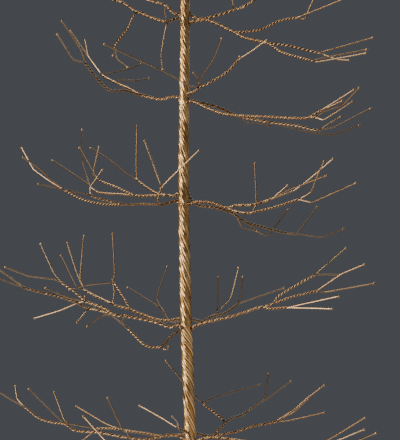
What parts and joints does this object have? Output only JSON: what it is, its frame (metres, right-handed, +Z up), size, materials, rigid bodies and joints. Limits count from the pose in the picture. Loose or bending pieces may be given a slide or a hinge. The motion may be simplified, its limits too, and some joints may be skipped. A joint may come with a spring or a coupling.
{
  "type": "wire tree sculpture",
  "caption": "Table-top tree of twisted gold wire: a rope trunk on a round plinth, with tiers of forked wire branches that end in small balls.",
  "frame": {"origin": "centre of the plinth's underside, on the surface that the tree stands on", "axes": "+Z up along the trunk, -Y towards the front as in the picture, +X to the right"},
  "size_m": [0.2764, 0.2307, 0.6242],
  "materials": {
    "branch_wire": "satin gold lacquer on drawn wire",
    "plinth_metal": "satin gold lacquer, slightly worn",
    "trunk_wire": "satin gold lacquer on twisted wire"
  },
  "bodies": {
    "root": {"crown": "branch_wire", "plinth": "plinth_metal", "tier_1_branch_front": "branch_wire", "tier_1_branch_left_back": "branch_wire", "tier_1_branch_left_front": "branch_wire", "tier_1_branch_left_low": "branch_wire", "tier_1_branch_right_back": "branch_wire", "tier_1_branch_right_front": "branch_wire", "tier_1_branch_right_middle": "branch_wire", "tier_2_branch_back": "branch_wire", "tier_2_branch_left_back": "branch_wire", "tier_2_branch_left_front": "branch_wire", "tier_2_branch_left_low": "branch_wire", "tier_2_branch_right_back": "branch_wire", "tier_2_branch_right_front": "branch_wire", "tier_3_branch_left_back": "branch_wire", "tier_3_branch_left_front": "branch_wire", "tier_3_branch_right_back": "branch_wire", "tier_3_branch_right_front": "branch_wire", "tier_4_branch_left": "branch_wire", "tier_4_branch_right_back": "branch_wire", "tier_4_branch_right_front": "branch_wire", "tier_4_branch_rising": "branch_wire", "tier_5_branch_left_back": "branch_wire", "tier_5_branch_left_front": "branch_wire", "tier_5_branch_right_back": "branch_wire", "tier_5_branch_right_front": "branch_wire", "tier_6_branch_1": "branch_wire", "tier_6_branch_2": "branch_wire", "tier_6_branch_3": "branch_wire", "tier_6_branch_4": "branch_wire", "tier_7_branch_1": "branch_wire", "tier_7_branch_2": "branch_wire", "tier_7_branch_3": "branch_wire", "tier_7_branch_4": "branch_wire", "tier_8_branch_1": "branch_wire", "tier_8_branch_2": "branch_wire", "tier_8_branch_3": "branch_wire", "tier_8_branch_4": "branch_wire", "trunk": "trunk_wire"}
  },
  "joints": []
}
